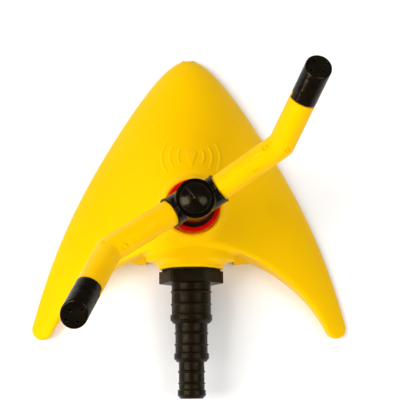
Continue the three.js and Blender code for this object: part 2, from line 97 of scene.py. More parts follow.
COLLAR_R = 19
COLLAR_ROOT = 24
COLLAR_TOP = 46
COLLAR_FILLET = 4
WELL_R = 16.5
WELL_FLOOR = 45
RISER_R = 13.8
RISER_BORE_R = 9.9
COLUMN_FOOT = 6
NUT_R = 16.1
NUT_TEETH = 84
NUT_LIP = 1.2
TOOTH_DEPTH = 0.7
TOOTH_POWER = 0.7
NUT_WINDOW_R = 13.1
SEAL_THICK = 0.8
BUSH_FLANGE_T = 1.3
BUSH_R = 9.6
BUSH_STEP_R = 11.4
BUSH_STEP = 0.7
SPINDLE_R = 6.7

INLET_Z = 20.5
BOSS_R = 19.8
BOSS_END_Y = -28.7
BOSS_FILLET = 2.5
FLARE_R = 27
FLARE_END = 27
FLARE_LENGTH = 3.4
FLARE_FRONT_Y = -14.5
SOCKET_R = 13.2
SOCKET_FLOOR = 11
WATER_R = 7
PIPE_WALL = 3
HEX_BACK_Y = -30.1
HEX_FRONT_Y = -37.4
HEX_R = 20.1
HEX_TURN = 9
HEX_SHARPNESS = 46
CONNECTOR_START = 13.5
TAIL_BORE_R = 5.5
TAIL_CORES = (12, 9.8, 7.75)
TAIL_ENDS = (61.7, 85.1, -TAIL_END_Y)
TAIL_RINGS = ((42.5, 50.1), (67.8, 74.7), (91, 98))
RING_RISE = 0.62
RING_FOOT = 0.75
RING_CREST = 0.2
BARB_RISE = 0.8
BARB_START = 5.4
BARB_CREST = (5.1, 2)
BARB_DROP = 1
STEP_DROP = 2.1
TAIL_SEAM_ANGLES = (126, 306)
TAIL_SEAM_RISE = 0.12

ARM_ROOT_Z = 66
HUB_R = 11.7
HUB_BOTTOM = 58
NECK_R = 9.6
GROOVE_R = 10.8
DOME_R = 9.7
DOME_SEAM_TURN = 9
DOME_SEAM_RISE = 0.4
DOME_STEP = 0.12
GATE_RISE = 0.45
GATE_R = 0.5
BRIDGE_HALF = 0.4
GROOVE_DEPTH = 1.8
PLUG_R = 4.3
PLUG_BOTTOM = 74.5
PLUG_WAIST_R = 3.2
PLUG_WAIST = (75.4, 77)
CHAMBER_R = 6
CHAMBER_TOP = 72
SPINDLE_ROOM_TOP = 60.5
SLEEVE_R = 9
SLEEVE_LENGTH = 17
BEAD_RISE = 0.35
BEAD_LENGTH = 1.1
SEAM_HALF = 0.35
SLIT_OFFSET = 0.9
SLIT_HALF = 0.3
SLIT_DEPTH = 0.45
SLIT_LENGTH = 4.5
ARM_START = 9.2
ARM_AZIMUTH = 33.7
ARM_OFFSET = 1.9
INNER_RISE = 16.5
INNER_LENGTH = 61
OUTER_TURN = 30.7
OUTER_RISE = 36.5
PIPE_R = 7.9
PIPE_BORE_R = 5.6
SPIGOT_R = 6.9
SPIGOT_BORE_R = 5
PIPE_END = 30.5
SPIGOT_END = 44
SEAL_GROOVE = (39.7, 41.9)
SEAL_GROOVE_DEPTH = 1.1
KEY_WIDTH = 2.2
KEY_LENGTH = 2.8
BUTTON_DISH = 0.45
BUTTON_RISE = 0.35
INNER_BUTTON = (INNER_LENGTH - 7.5, 27, 2.2)
OUTER_BUTTON = (1.6, -38, 1.6)
FACE_AT = 53.5
FACE_TILT = 25.5
CAP_BORE_R = 7.2
CAP_CHAMBER_R = 6.3
CAP_WALL = 2
JET_R = 0.8
JETS = ((-3.1, 5), (3.1, 1.6), (-3.6, -2.8), (3, -4.6))
SLOT_HALF = 3.05
COUNTERSINK = 0.35
DENT_ALONG = 6.4
DENT_ANGLE = 72
DENT_R = 0.55


# ---------------------------------------------------------------- fields
def both(a, b, rounding=0.0):
    """What lies in both shapes, with the edge between them rounded."""
    if np.isscalar(rounding) and rounding == 0.0:
        return np.maximum(a, b)
    corner = np.hypot(np.maximum(a + rounding, 0), np.maximum(b + rounding, 0))
    return np.minimum(np.maximum(a, b), -rounding) + corner


def either(a, b, fillet=0.0):
    """What lies in one shape or the other, with a fillet where they meet."""
    return -both(-a, -b, fillet)


def without(a, b, rounding=0.0):
    return both(a, -b, rounding)


def slab(t, low, high):
    return np.maximum(low - t, t - high)


def into(matrix, x, y, z):
    """The same points in the frame that matrix stands for."""
    rows = matrix.inverted()
    return [rows[k][0] * x + rows[k][1] * y + rows[k][2] * z + rows[k][3] for k in range(3)]


def bump(distance, width):
    """1 on a line and 0 beyond its width, with a smooth flank."""
    t = np.clip(1 - np.abs(distance) / width, 0, 1)
    return t * t * (3 - 2 * t)


# ---------------------------------------------------------------- from a field to a mesh
SLOPE_REACH = 0.05
NORMAL_REACH = 0.1
SETTLE_ROUNDS = 3
SHARP_ANGLE = 38


def slope_of(field, points, reach):
    sides = []
    for axis in range(3):
        offset = np.zeros(3)
        offset[axis] = reach
        sides.append((field(*(points + offset).T) - field(*(points - offset).T)) / (2 * reach))
    return np.stack(sides, 1)


def edge_crossings(value, grid, axis):
    """Where the surface crosses the grid's edges along one axis.
    Each crossing gives a quad of the four cells round the edge, and its point once for each of them."""
    a = (axis + 1) % 3
    b = (axis + 2) % 3
    inside = value < 0
    near = tuple(slice(0, -1) if k == axis else slice(None) for k in range(3))
    far = tuple(slice(1, None) if k == axis else slice(None) for k in range(3))
    index = np.argwhere(inside[near] != inside[far])
    beyond = index.copy()
    beyond[:, axis] += 1
    start = value[tuple(index.T)].astype(float)
    end = value[tuple(beyond.T)].astype(float)
    point = np.stack([grid[k][index[:, k]] for k in range(3)], 1).astype(float)
    length = grid[axis][beyond[:, axis]] - grid[axis][index[:, axis]]
    point[:, axis] += length * start / (start - end)
    cells = []
    for back_a, back_b in ((1, 1), (0, 1), (0, 0), (1, 0)):
        cell = index.copy()
        cell[:, a] -= back_a
        cell[:, b] -= back_b
        cells.append(np.ravel_multi_index(cell.T, value.shape))
    quad = np.stack(cells, 1)
    inward = start > 0
    quad[inward] = quad[inward][:, ::-1]
    return quad, np.repeat(point, 4, axis=0)


def settle(field, points, most):
    """Moves points onto the surface, by no more than most in each round."""
    for _ in range(SETTLE_ROUNDS):
        slope = slope_of(field, points, SLOPE_REACH)
        move = -(field(*points.T) / np.maximum((slope**2).sum(1), 1e-6))[:, None] * slope
        far = np.linalg.norm(move, axis=1, keepdims=True)
        points = points + move * np.minimum(1, most / np.maximum(far, 1e-9))
    return points


def skin(field, xs, ys, zs):
    """Points, quads and normals of the surface where field is 0.
    Each grid cell that it crosses gets one point."""
    grid = (xs, ys, zs)
    value = field(xs[:, None, None], ys[None, :, None], zs[None, None, :])
    found = [edge_crossings(value, grid, axis) for axis in range(3)]
    quads = np.concatenate([quad for quad, _ in found])
    crossings = np.concatenate([point for _, point in found])
    corners = np.unique(quads.ravel(), return_inverse=True)[1]
    count = np.bincount(corners)
    points = np.stack([np.bincount(corners, crossings[:, k]) / count for k in range(3)], 1)
    points = settle(field, points, 0.5 * min(np.diff(lines).min() for lines in grid))
    normals = slope_of(field, points, NORMAL_REACH)
    normals /= np.maximum(np.linalg.norm(normals, axis=1, keepdims=True), 1e-9)
    return points, corners.reshape(-1, 4), normals


def steps(low, high, step):
    return np.linspace(low, high, int(round((high - low) / step)) + 1)


def graded(*stretches):
    """Grid lines along an axis: (from, to, step) stretches that follow each other."""
    lines = [steps(low, high, step) for low, high, step in stretches]
    return np.unique(np.round(np.concatenate(lines), 6))


COARSE = 1.0
FINE_BASE_STEP = 0.6 * COARSE
WIDE_BASE_STEP = 0.95 * COARSE
UP_BASE_STEP = 0.7 * COARSE
ARM_STEP = 0.6 * COARSE
CAP_STEP = 0.33 * COARSE
HUB_STEP = 0.42 * COARSE
DOME_GRID_STEP = 0.25 * COARSE


def add_piece(name, points, faces, material, body, nodes, normals=None, turn=None, along=None):
    """Makes a piece from millimetre points, which rides on body and stands for CAD nodes.
    along gives each point's place for textures that follow the piece."""
    place = turn or Matrix.Identity(4)
    rows = np.array(place)
    moved = points @ rows[:3, :3].T + rows[:3, 3]
    mesh = bpy.data.meshes.new(name)
    mesh.from_pydata((moved * MM).tolist(), [], faces.tolist() if hasattr(faces, "tolist") else faces)
    mesh.polygons.foreach_set("use_smooth", [True] * len(mesh.polygons))
    if normals is None:
        mesh.set_sharp_from_angle(angle=math.radians(SHARP_ANGLE))
    else:
        mesh.normals_split_custom_set_from_vertices((normals @ rows[:3, :3].T).tolist())
    if along is not None:
        placed = mesh.attributes.new("along", "FLOAT_VECTOR", "POINT")
        placed.data.foreach_set("vector", (along * MM).ravel())
    mesh.materials.append(material)
    made = bpy.data.objects.new(name, mesh)
    bpy.context.scene.collection.objects.link(made)
    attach(made, body)
    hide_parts(*nodes)
    return made


# ---------------------------------------------------------------- base
NOSE_SPREAD = 18.85
SWEEP_DEPTH = 25.9
SWEEP_POWER = 1.114
TIP_HOOK = 31.4
TIP_HOOK_POWER = 6.6

edge_x = HALF_WIDTH * np.sin(np.linspace(0, math.pi / 2, 8000))
edge_sweep = SWEEP_DEPTH * ((1 + (edge_x / NOSE_SPREAD) ** 2) ** (SWEEP_POWER / 2) - 1)
edge_y = NOSE_Y - edge_sweep - TIP_HOOK * (edge_x / HALF_WIDTH) ** TIP_HOOK_POWER

ARCH_SHARE = 0.62
ARCH_POWER = 0.72
MOUND_WIDTH = 34
MOUND_LENGTH = 45
CROWN_DROP = 0.0034
CROWN_POWERS = (2.2, 0.62)

EMBLEM_Y = 41.5
EMBLEM_RISE = 0.4
EMBLEM_FLOOR = 10
DROP_R = 3.4
DROP_TIP_R = 0.8
DROP_LENGTH = 7.5
FAN_RADII = (8, 13, 18)
FAN_ANGLE = 33
FAN_LINE = 1.3


def half_width(y):
    return np.maximum(np.interp(-y, -edge_y, edge_x), 0.5)


def crown(y):
    along = np.clip((y - CROWN_Y) / (NOSE_Y - CROWN_Y), 0, 1)
    ahead = CROWN_RISE * np.maximum(1 - along ** CROWN_POWERS[0], 1e-4) ** CROWN_POWERS[1]
    return np.where(y < CROWN_Y, CROWN_RISE - CROWN_DROP * (y - CROWN_Y) ** 2, ahead)


def wing_level(x, y, z):
    """0 on the outer skin. Its size isn't a distance yet."""
    u = np.abs(x) / half_width(y)
    ahead = np.maximum(y - SPIN_Y, 0)
    mound = np.maximum(1 - u * u, 0) * np.exp(-((x / MOUND_WIDTH) ** 2) - (ahead / MOUND_LENGTH) ** 2)
    rise = (z - RIM) / crown(y) - (1 - ARCH_SHARE) * mound
    return np.sqrt(u * u + np.maximum(rise / ARCH_SHARE, 0) ** (1 / ARCH_POWER)) - 1


def wing_distance(x, y, z):
    h = SLOPE_REACH
    level = wing_level(x, y, z)
    slopes = (
        wing_level(x + h, y, z) - level,
        wing_level(x, y + h, z) - level,
        wing_level(x, y, z + h) - level,
    )
    steepness = np.sqrt(sum(s * s for s in slopes)) / h
    return np.clip(level / np.maximum(steepness, 1e-3), -40, 40)


REAR_ARC_Y = TIP_Y - math.sqrt((REAR_ARC_R + TIP_R) ** 2 - TIP_X**2)


def rear_distance(x, y):
    """Distance behind the rear edge: one arc from tip to tip, and a round tip at each end."""
    across = np.abs(x)
    arc = REAR_ARC_R - np.hypot(across, y - REAR_ARC_Y)
    tip = np.where(y < TIP_Y, np.hypot(across - TIP_X, y - TIP_Y), across - TIP_X) - TIP_R
    outer_side = across * (TIP_Y - REAR_ARC_Y) - (y - REAR_ARC_Y) * TIP_X > 0
    return np.where(outer_side, tip, arc)


def emblem(x, y):
    """Low relief ahead of the riser: a drop between two fans of spray."""
    across = np.abs(x)
    up = y - EMBLEM_Y
    drop_r = DROP_R - (DROP_R - DROP_TIP_R) * np.clip(-up / DROP_LENGTH, 0, 1)
    drop = np.hypot(across, np.where(up > 0, up, 0)) - drop_r
    drop = np.where(up < -DROP_LENGTH, np.hypot(across, up + DROP_LENGTH) - DROP_TIP_R, drop)
    height = np.clip(0.5 - drop, 0, 1)
    for radius in FAN_RADII:
        ring = np.hypot(across, up + 2) - radius
        in_fan = np.abs(np.arctan2(up + 2, across)) < math.radians(FAN_ANGLE)
        height = np.maximum(height, np.where(in_fan, bump(ring, FAN_LINE), 0))
    return height


def base_outside(x, y, z, r, q, wing, rear):
    """The wing with its relief, the inlet boss with its flare, and the collar."""
    relief = EMBLEM_RISE * emblem(x, y) * (z > EMBLEM_FLOOR)
    lip = LIP_R * np.clip((HALF_WIDTH - np.abs(x)) / LIP_FADE, 0.1, 1)
    body = both(wing - relief, rear, lip)
    boss = both(q - BOSS_R, slab(y, BOSS_END_Y, -SOCKET_FLOOR - 1), 0.8)
    spread = 1 + (FLARE_R / BOSS_R - 1) * np.clip((y + FLARE_END) / FLARE_LENGTH, 0, 1.05) ** 2
    flare = both(np.hypot(x / spread, z - INLET_Z) - BOSS_R, slab(y, -FLARE_END, FLARE_FRONT_Y))
    body = either(body, either(boss, flare, 0.8), BOSS_FILLET)
    collar = both(both(r - COLLAR_R, z - COLLAR_TOP, 1.6), COLLAR_ROOT - z)
    return either(body, collar, COLLAR_FILLET)


def base_hollow(z, r, wing, rear):
    """What is open below the skin, up into the collar."""
    hollow = both(wing + SKIN, rear + SKIN, 1.2)
    core = both(r - (COLLAR_R - SKIN), slab(z, COLLAR_ROOT - 4, WELL_FLOOR - SKIN), 0.6)
    return either(hollow, core, 1)


def base_feet(x, y, z):
    """Two wedges on the rear wall, one on each side of the inlet."""
    side = slab(y, FOOT_END_Y + FOOT_SKEW * (np.abs(x) - FOOT_X), FOOT_END_Y + FOOT_LENGTH)
    top = FOOT_HEIGHT + FOOT_SLOPE * (y - FOOT_END_Y) / FOOT_LENGTH
    under_top = (z - top) / math.hypot(1, FOOT_SLOPE / FOOT_LENGTH)
    return both(both(np.abs(np.abs(x) - FOOT_X) - FOOT_WIDTH / 2, side, 1), under_top, 0.5)


def base_ribs(x, y, z, body):
    """The keel and the cross rib, which end inside the skin."""
    keel = both(np.abs(x) - RIB / 2, slab(y, SPIN_Y + RISER_R - 1, KEEL_END_Y))
    cross = both(np.abs(y - SPIN_Y) - RIB / 2, np.abs(x) - CROSS_RIB_X)
    return both(both(np.minimum(keel, cross), RIB_BOTTOM - z, 0.4), body + SKIN / 2)


def base_waterways(y, z, r, q):
    """The riser's bore, the passage to it, and the socket for the hose connector."""
    chamber_floor = INLET_Z - WATER_R - 2
    bore = both(r - RISER_BORE_R, chamber_floor - z, 0.5)
    passage = both(q - WATER_R, slab(y, -SOCKET_FLOOR - 2, SPIN_Y))
    socket = both(q - SOCKET_R, slab(y, BOSS_END_Y - 5, -SOCKET_FLOOR), 0.3)
    return np.minimum(np.minimum(bore, passage), socket)


def base_field(x, y, z):
    r = np.hypot(x, y - SPIN_Y)
    q = np.hypot(x, z - INLET_Z)
    wing = wing_distance(x, y, z)
    rear = rear_distance(x, y)
    body = base_outside(x, y, z, r, q, wing, rear)
    shell = without(body, base_hollow(z, r, wing, rear), 0.5)
    well = both(both(r - WELL_R, WELL_FLOOR - z, 0.4), -(r - RISER_R))
    above = both(r - COLLAR_R - 0.1, COLLAR_TOP - z)
    shell = without(without(shell, well, 0.5), above)
    column = both(r - RISER_R, slab(z, COLUMN_FOOT, RISER_TOP), 0.5)
    pipe = both(q - WATER_R - PIPE_WALL, slab(y, -SOCKET_FLOOR - 1, SPIN_Y))
    whole = either(either(shell, base_feet(x, y, z), 0.8), column, 0.4)
    whole = either(whole, either(pipe, base_ribs(x, y, z, body), 1), 0.8)
    whole = without(whole, base_waterways(y, z, r, q), 0.4)
    return both(whole, -z, 0.3)


def base_grid():
    """Finer round the riser, the inlet and the relief than out on the wings."""
    wide, fine = WIDE_BASE_STEP, FINE_BASE_STEP
    xs = graded((-99.5, -27, wide), (-27, 27, fine), (27, 99.5, wide))
    ys = graded((-72, -31, wide), (-31, 56, fine), (56, 109, wide))
    zs = steps(-1.1, RISER_TOP + 1.2, UP_BASE_STEP)
    return xs, ys, zs


# ---------------------------------------------------------------- head
def turn_z(degrees):
    return Matrix.Rotation(math.radians(degrees), 4, "Z")


def lift(degrees):
    """Leans +X up towards +Z."""
    return Matrix.Rotation(-math.radians(degrees), 4, "Y")


SPIN_AXIS = Matrix.Translation((0, SPIN_Y, 0))
HALF_TURN = SPIN_AXIS @ turn_z(180) @ SPIN_AXIS.inverted()
ARM_ROOT = SPIN_AXIS @ turn_z(ARM_AZIMUTH) @ Matrix.Translation((0, -ARM_OFFSET, ARM_ROOT_Z))
INNER = ARM_ROOT @ lift(INNER_RISE)
BEND = Matrix.Translation(lift(INNER_RISE) @ Vector((INNER_LENGTH, 0, 0)))
OUTER = ARM_ROOT @ BEND @ turn_z(OUTER_TURN) @ lift(OUTER_RISE)
FACE = Matrix.Translation((FACE_AT, 0, 0)) @ lift(FACE_TILT)


def button(x, y, z, along, angle, radius):
    """A round moulded mark on a pipe that runs along X: a small dome in a shallow dish."""
    c = math.cos(math.radians(angle))
    s = math.sin(math.radians(angle))
    flat = np.hypot(x - along, y * c - z * s)
    out = y * s + z * c
    dish = both(flat - radius, PIPE_R - BUTTON_DISH - out, 0.2)
    dome = both(flat - 0.55 * radius, slab(out, PIPE_R - 1.5, PIPE_R + BUTTON_RISE), 0.4)
    return dish, dome


def arm_field(x, y, z):
    a, b, c = into(INNER, x, y, z)
    e, f, g = into(OUTER, x, y, z)
    inner_r = np.hypot(b, c)
    outer_r = np.hypot(f, g)
    ball = np.sqrt(e * e + f * f + g * g)
    inner = both(inner_r - PIPE_R, slab(a, ARM_START, INNER_LENGTH))
    outer = both(outer_r - PIPE_R, slab(e, 0, PIPE_END))
    outside = np.minimum(either(inner, outer, 0.5), ball - PIPE_R)
    outside = both(outside, e - PIPE_END, 0.3)
    spigot = both(outer_r - SPIGOT_R, slab(e, 0, SPIGOT_END), 0.4)
    key = both(slab(f, SPIGOT_R - 1, PIPE_R - 0.1), np.abs(g) - KEY_WIDTH / 2)
    key = both(key, slab(e, PIPE_END - 1, PIPE_END + KEY_LENGTH), 0.3)
    outside = np.minimum(np.minimum(outside, spigot), key)
    groove = both(SPIGOT_R - SEAL_GROOVE_DEPTH - outer_r, slab(e, *SEAL_GROOVE))
    for stretch, (along, angle, radius) in (((a, b, c), INNER_BUTTON), ((e, f, g), OUTER_BUTTON)):
        dish, dome = button(*stretch, along, angle, radius)
        near = slab(stretch[0], along - 4, along + 4)
        outside = np.minimum(without(outside, both(dish, near), 0.15), both(dome, near))
    bore = both(inner_r - PIPE_BORE_R, slab(a, ARM_START - 2, INNER_LENGTH))
    bore = np.minimum(bore, ball - PIPE_BORE_R)
    bore = np.minimum(bore, both(outer_r - SPIGOT_BORE_R, slab(e, 0, SPIGOT_END + 2)))
    return without(without(outside, groove), bore, 0.3)


def along_pipe(points):
    """Each point's distance along the bent pipe, and its place across it."""
    inner = np.stack(into(INNER, *points.T), 1)
    outer = np.stack(into(OUTER, *points.T), 1) + (INNER_LENGTH, 0, 0)
    return np.where(outer[:, :1] > INNER_LENGTH, outer, inner)


def cap_field(x, y, z):
    """In the outer stretch's own frame."""
    r = np.hypot(y, z)
    u, v, w = into(FACE, x, y, z)
    shell = both(both(r - PIPE_R, PIPE_END + GAP - x, 0.35), u, 0.9)
    hollow = both(r - CAP_BORE_R, x - SPIGOT_END - 0.6, 0.2)
    hollow = np.minimum(hollow, both(both(r - CAP_CHAMBER_R, u + CAP_WALL, 0.8), -x))
    slot = both(CAP_BORE_R - 3 - y, np.abs(z) - SLOT_HALF, 0.2)
    slot = both(slot, x - PIPE_END - KEY_LENGTH - 2 * GAP, 0.5)
    cap = without(without(shell, hollow, 0.15), slot, 0.2)
    for across, up in JETS:
        rim = np.hypot(v + across, w - up)
        jet = both(rim - JET_R, slab(u, -CAP_WALL - 1.5, 2))
        countersink = rim - JET_R - COUNTERSINK - u
        cap = without(cap, np.minimum(jet, both(countersink, -u - COUNTERSINK)))
    dent_y = PIPE_R * math.cos(math.radians(DENT_ANGLE))
    dent_z = PIPE_R * math.sin(math.radians(DENT_ANGLE))
    dent = np.sqrt((x - PIPE_END - DENT_ALONG) ** 2 + (y - dent_y) ** 2 + (z - dent_z) ** 2)
    return without(cap, dent - DENT_R)


def sleeve_parts(a, b, c):
    """A sleeve along +X with its bead and mould seam, and what is open in it."""
    s = np.hypot(b, c)
    sleeve = both(s - SLEEVE_R, slab(a, 2, SLEEVE_LENGTH), 0.25)
    bead = both(s - SLEEVE_R - BEAD_RISE, slab(a, SLEEVE_LENGTH - BEAD_LENGTH, SLEEVE_LENGTH), 0.3)
    seam = both(np.abs(b) - SEAM_HALF, c - SLEEVE_R - BEAD_RISE, 0.2)
    seam = both(both(seam, slab(a, 2, SLEEVE_LENGTH - 0.3)), -c)
    socket = both(s - PIPE_R - GAP, slab(a, ARM_START - 1.5, SLEEVE_LENGTH + 4))
    slit = both(np.abs(b + SLIT_OFFSET) - SLIT_HALF, SLEEVE_R - SLIT_DEPTH - c)
    slit = both(slit, slab(a, SLEEVE_LENGTH - SLIT_LENGTH, SLEEVE_LENGTH + 2))
    water = both(s - PIPE_BORE_R, slab(a, 0, ARM_START))
    return either(either(sleeve, bead, 0.3), seam, 0.2), np.minimum(np.minimum(socket, slit), water)


def hub_field(x, y, z):
    r = np.hypot(x, y - SPIN_Y)
    neck = both(r - NECK_R, slab(z, NECK_BOTTOM, HUB_BOTTOM + 1), 0.3)
    drum = both(r - HUB_R, slab(z, HUB_BOTTOM, HUB_TOP), 0.45)
    body = either(neck, drum, 0.5)
    openings = both(r - SPINDLE_R - GAP, slab(z, NECK_BOTTOM - 3, SPINDLE_ROOM_TOP))
    openings = np.minimum(openings, both(r - CHAMBER_R, slab(z, SPINDLE_ROOM_TOP - 0.5, CHAMBER_TOP)))
    openings = np.minimum(openings, both(r - PLUG_R - GAP, slab(z, CHAMBER_TOP - 1, HUB_TOP + 3)))
    openings = np.minimum(openings, both(r - GROOVE_R, HUB_TOP - GROOVE_DEPTH - z, 0.3))
    for placed in (INNER, HALF_TURN @ INNER):
        sleeve, sleeve_openings = sleeve_parts(*into(placed, x, y, z))
        body = either(body, sleeve, 0.8)
        openings = np.minimum(openings, sleeve_openings)
    return without(body, openings, 0.25)


def dome_field(x, y, z):
    """The cap in its ring groove, with the mould seam across it and the gate mark in the middle."""
    r = np.hypot(x, y - SPIN_Y)
    rise = DOME_TOP - HUB_TOP
    ball_r = (DOME_R**2 + rise**2) / (2 * rise)
    ball = np.sqrt(r * r + (z - DOME_TOP + ball_r) ** 2) - ball_r
    across, along, _ = into(SPIN_AXIS @ turn_z(ARM_AZIMUTH + DOME_SEAM_TURN), x, y, z)
    seam = DOME_SEAM_RISE * bump(across, 0.5) * np.clip(0.45 + along / 9, 0.3, 1)
    gate = GATE_RISE * bump(r - GATE_R, 1.1)
    cap = both(r - DOME_R, ball - seam - gate, 0.5)
    floor = HUB_TOP - GROOVE_DEPTH + GAP
    cap = both(cap, floor - z, 0.2)
    step = both(np.abs(r - DOME_R + 0.9) - DOME_STEP, -DOME_STEP - ball)
    cap = without(cap, step, 0.1)
    bridge = both(np.abs(across) - BRIDGE_HALF, r - GROOVE_R + 0.25)
    bridge = both(bridge, slab(z, HUB_TOP - 1.2, HUB_TOP), 0.15)
    plug = both(r - PLUG_R, slab(z, PLUG_BOTTOM, floor + 0.5), 0.3)
    waist = both(both(r - PLUG_R - 1, PLUG_WAIST_R - r), slab(z, *PLUG_WAIST))
    return np.minimum(np.minimum(cap, bridge), without(plug, waist))


# ---------------------------------------------------------------- turned pieces
def rounded(outline, radius, arc_steps=3):
    """A closed outline of (radius, height) points with each corner turned into a small arc."""
    made = []
    corners = [Vector(point) for point in outline]
    for before, corner, after in zip(corners[-1:] + corners[:-1], corners, corners[1:] + corners[:1]):
        back = before - corner
        on = after - corner
        turn = back.angle(on)
        room = 0.45 * min(back.length, on.length)
        reach = min(radius / math.tan(turn / 2), room)
        start = corner + back.normalized() * reach
        end = corner + on.normalized() * reach
        for i in range(arc_steps + 1):
            t = i / arc_steps
            made.append((1 - t) ** 2 * start + 2 * t * (1 - t) * corner + t * t * end)
    return [(point.x, point.y) for point in made]


def turned(outline, segments, shape=None):
    """Revolves a closed outline about Z. shape(radius, height, angles) gives a ring that isn't round."""
    angles = np.linspace(0, 2 * math.pi, segments, endpoint=False)
    rings = []
    for radius, height in outline:
        around = np.full(segments, float(radius)) if shape is None else shape(radius, height, angles)
        heights = np.full(segments, height)
        rings.append(np.stack([around * np.cos(angles), around * np.sin(angles), heights], 1))
    points = np.concatenate(rings)
    count = len(outline)
    i, j = np.meshgrid(np.arange(count), np.arange(segments), indexing="ij")
    next_i = (i + 1) % count
    next_j = (j + 1) % segments
    corners = (i * segments + j, i * segments + next_j, next_i * segments + next_j, next_i * segments + j)
    return points, np.stack([c.ravel() for c in corners], 1)


def hexagon(angles):
    """Radius of a hexagon with soft corners, HEX_R at its corners."""
    flats = math.radians(HEX_TURN) + math.pi / 6 + np.arange(6) * math.pi / 3
    near = np.maximum(np.cos(angles[:, None] - flats[None, :]), 0) ** HEX_SHARPNESS
    return HEX_R * math.cos(math.pi / 6) * near.sum(1) ** (-1 / HEX_SHARPNESS)


def tail_outline():
    """Outer and inner outline of the hose connector: (radius, distance along -Y)."""
    inside = SOCKET_R - GAP
    hex_back = -HEX_BACK_Y
    hex_front = -HEX_FRONT_Y
    outline = [
        (TAIL_BORE_R, CONNECTOR_START), (inside, CONNECTOR_START), (inside, hex_back),
        (HEX_R, hex_back), (HEX_R, hex_front), (TAIL_CORES[0], hex_front),
    ]
    for core, end, at in zip(TAIL_CORES, TAIL_ENDS, TAIL_RINGS):
        for s in at:
            crest = core + RING_RISE
            outline += [(core, s - RING_FOOT), (crest, s - RING_CREST)]
            outline += [(crest, s + RING_CREST), (core, s + RING_FOOT)]
        outline += [(core, end - BARB_START)]
        outline += [(core + BARB_RISE, end - back) for back in BARB_CREST]
        outline += [(core - BARB_DROP, end)]
        if end < -TAIL_END_Y:
            outline += [(core - STEP_DROP, end)]
    outline += [(TAIL_BORE_R, -TAIL_END_Y)]
    return outline


def tail_shape(radius, height, angles):
    if radius > SOCKET_R + 1:
        return np.minimum(radius, hexagon(angles) * radius / HEX_R)
    seam = 0.0
    if radius > 7 and height > -HEX_FRONT_Y:
        for place in TAIL_SEAM_ANGLES:
            apart = np.angle(np.exp(1j * (angles - math.radians(place))))
            seam = seam + TAIL_SEAM_RISE * bump(apart * radius, 0.7)
    return radius + seam * np.ones_like(angles)


def nut_shape(radius, height, angles):
    if radius < NUT_WINDOW_R + 1.2:
        return np.full_like(angles, radius)
    tooth = np.abs(np.sin(NUT_TEETH * angles / 2)) ** TOOTH_POWER
    depth = TOOTH_DEPTH * np.clip((radius - NUT_WINDOW_R - 1.6) / 1.0, 0, 1)
    return radius - depth * (1 - tooth)


# ---------------------------------------------------------------- materials
class Look:
    """One material's nodes. Textures sit in the piece's own space, in metres."""

    def __init__(self, name, roughness, specular, tint, along=False):
        self.made = bpy.data.materials.new(name)
        self.made.use_nodes = True
        self.tree = self.made.node_tree
        self.shader = self.tree.nodes["Principled BSDF"]
        self.shader.inputs["Specular IOR Level"].default_value = specular
        self.shader.inputs["Specular Tint"].default_value = (*tint, 1)
        if along:
            self.place = self.node("ShaderNodeAttribute").outputs["Vector"]
            self.place.node.attribute_name = "along"
        else:
            self.place = self.node("ShaderNodeTexCoord").outputs["Object"]
        self.normal = None
        self.vary_roughness(*roughness)

    def node(self, kind):
        return self.tree.nodes.new(kind)

    def link(self, start, end):
        self.tree.links.new(start, end)

    def stretched(self, scale):
        """The place, scaled differently along each axis."""
        mapping = self.node("ShaderNodeMapping")
        mapping.inputs["Scale"].default_value = scale
        self.link(self.place, mapping.inputs["Vector"])
        return mapping.outputs["Vector"]

    def noise(self, scale, detail=2.0, place=None):
        texture = self.node("ShaderNodeTexNoise")
        texture.inputs["Scale"].default_value = scale
        texture.inputs["Detail"].default_value = detail
        self.link(place or self.place, texture.inputs["Vector"])
        return texture.outputs["Fac"]

    def fade(self, value, start, end, low=0.0, high=1.0):
        """Maps start..end of value smoothly onto low..high."""
        fading = self.node("ShaderNodeMapRange")
        fading.interpolation_type = "SMOOTHSTEP"
        for socket, number in (("From Min", start), ("From Max", end), ("To Min", low), ("To Max", high)):
            fading.inputs[socket].default_value = number
        self.link(value, fading.inputs["Value"])
        return fading.outputs["Result"]

    def times(self, a, b):
        product = self.node("ShaderNodeMath")
        product.operation = "MULTIPLY"
        self.link(a, product.inputs[0])
        self.link(b, product.inputs[1])
        return product.outputs["Value"]

    def blend(self, share, under, over):
        """Colour under, with over laid on it by share. Either may be a colour or a socket."""
        mixing = self.node("ShaderNodeMix")
        mixing.data_type = "RGBA"
        self.link(share, mixing.inputs["Factor"])
        for socket, colour in ((mixing.inputs[6], under), (mixing.inputs[7], over)):
            if isinstance(colour, tuple):
                socket.default_value = (*colour, 1)
            else:
                self.link(colour, socket)
        return mixing.outputs[2]

    def colour(self, socket):
        self.link(socket, self.shader.inputs["Base Color"])

    def vary_roughness(self, low, high, scale):
        self.link(self.fade(self.noise(scale, 3.0), 0.3, 0.7, low, high), self.shader.inputs["Roughness"])

    def relief(self, height, depth):
        """Adds a bump of this height field. depth is in millimetres."""
        bumping = self.node("ShaderNodeBump")
        bumping.inputs["Strength"].default_value = 1.0
        bumping.inputs["Distance"].default_value = depth * MM
        self.link(height, bumping.inputs["Height"])
        if self.normal is not None:
            self.link(self.normal, bumping.inputs["Normal"])
        self.normal = bumping.outputs["Normal"]
        self.link(self.normal, self.shader.inputs["Normal"])


YELLOW_LIGHT = (0.93, 0.54, 0.0)
YELLOW_DEEP = (0.88, 0.5, 0.0)
YELLOW_TINT = (1.0, 0.72, 0.05)
WARM_TINT = (1.0, 0.8, 0.5)


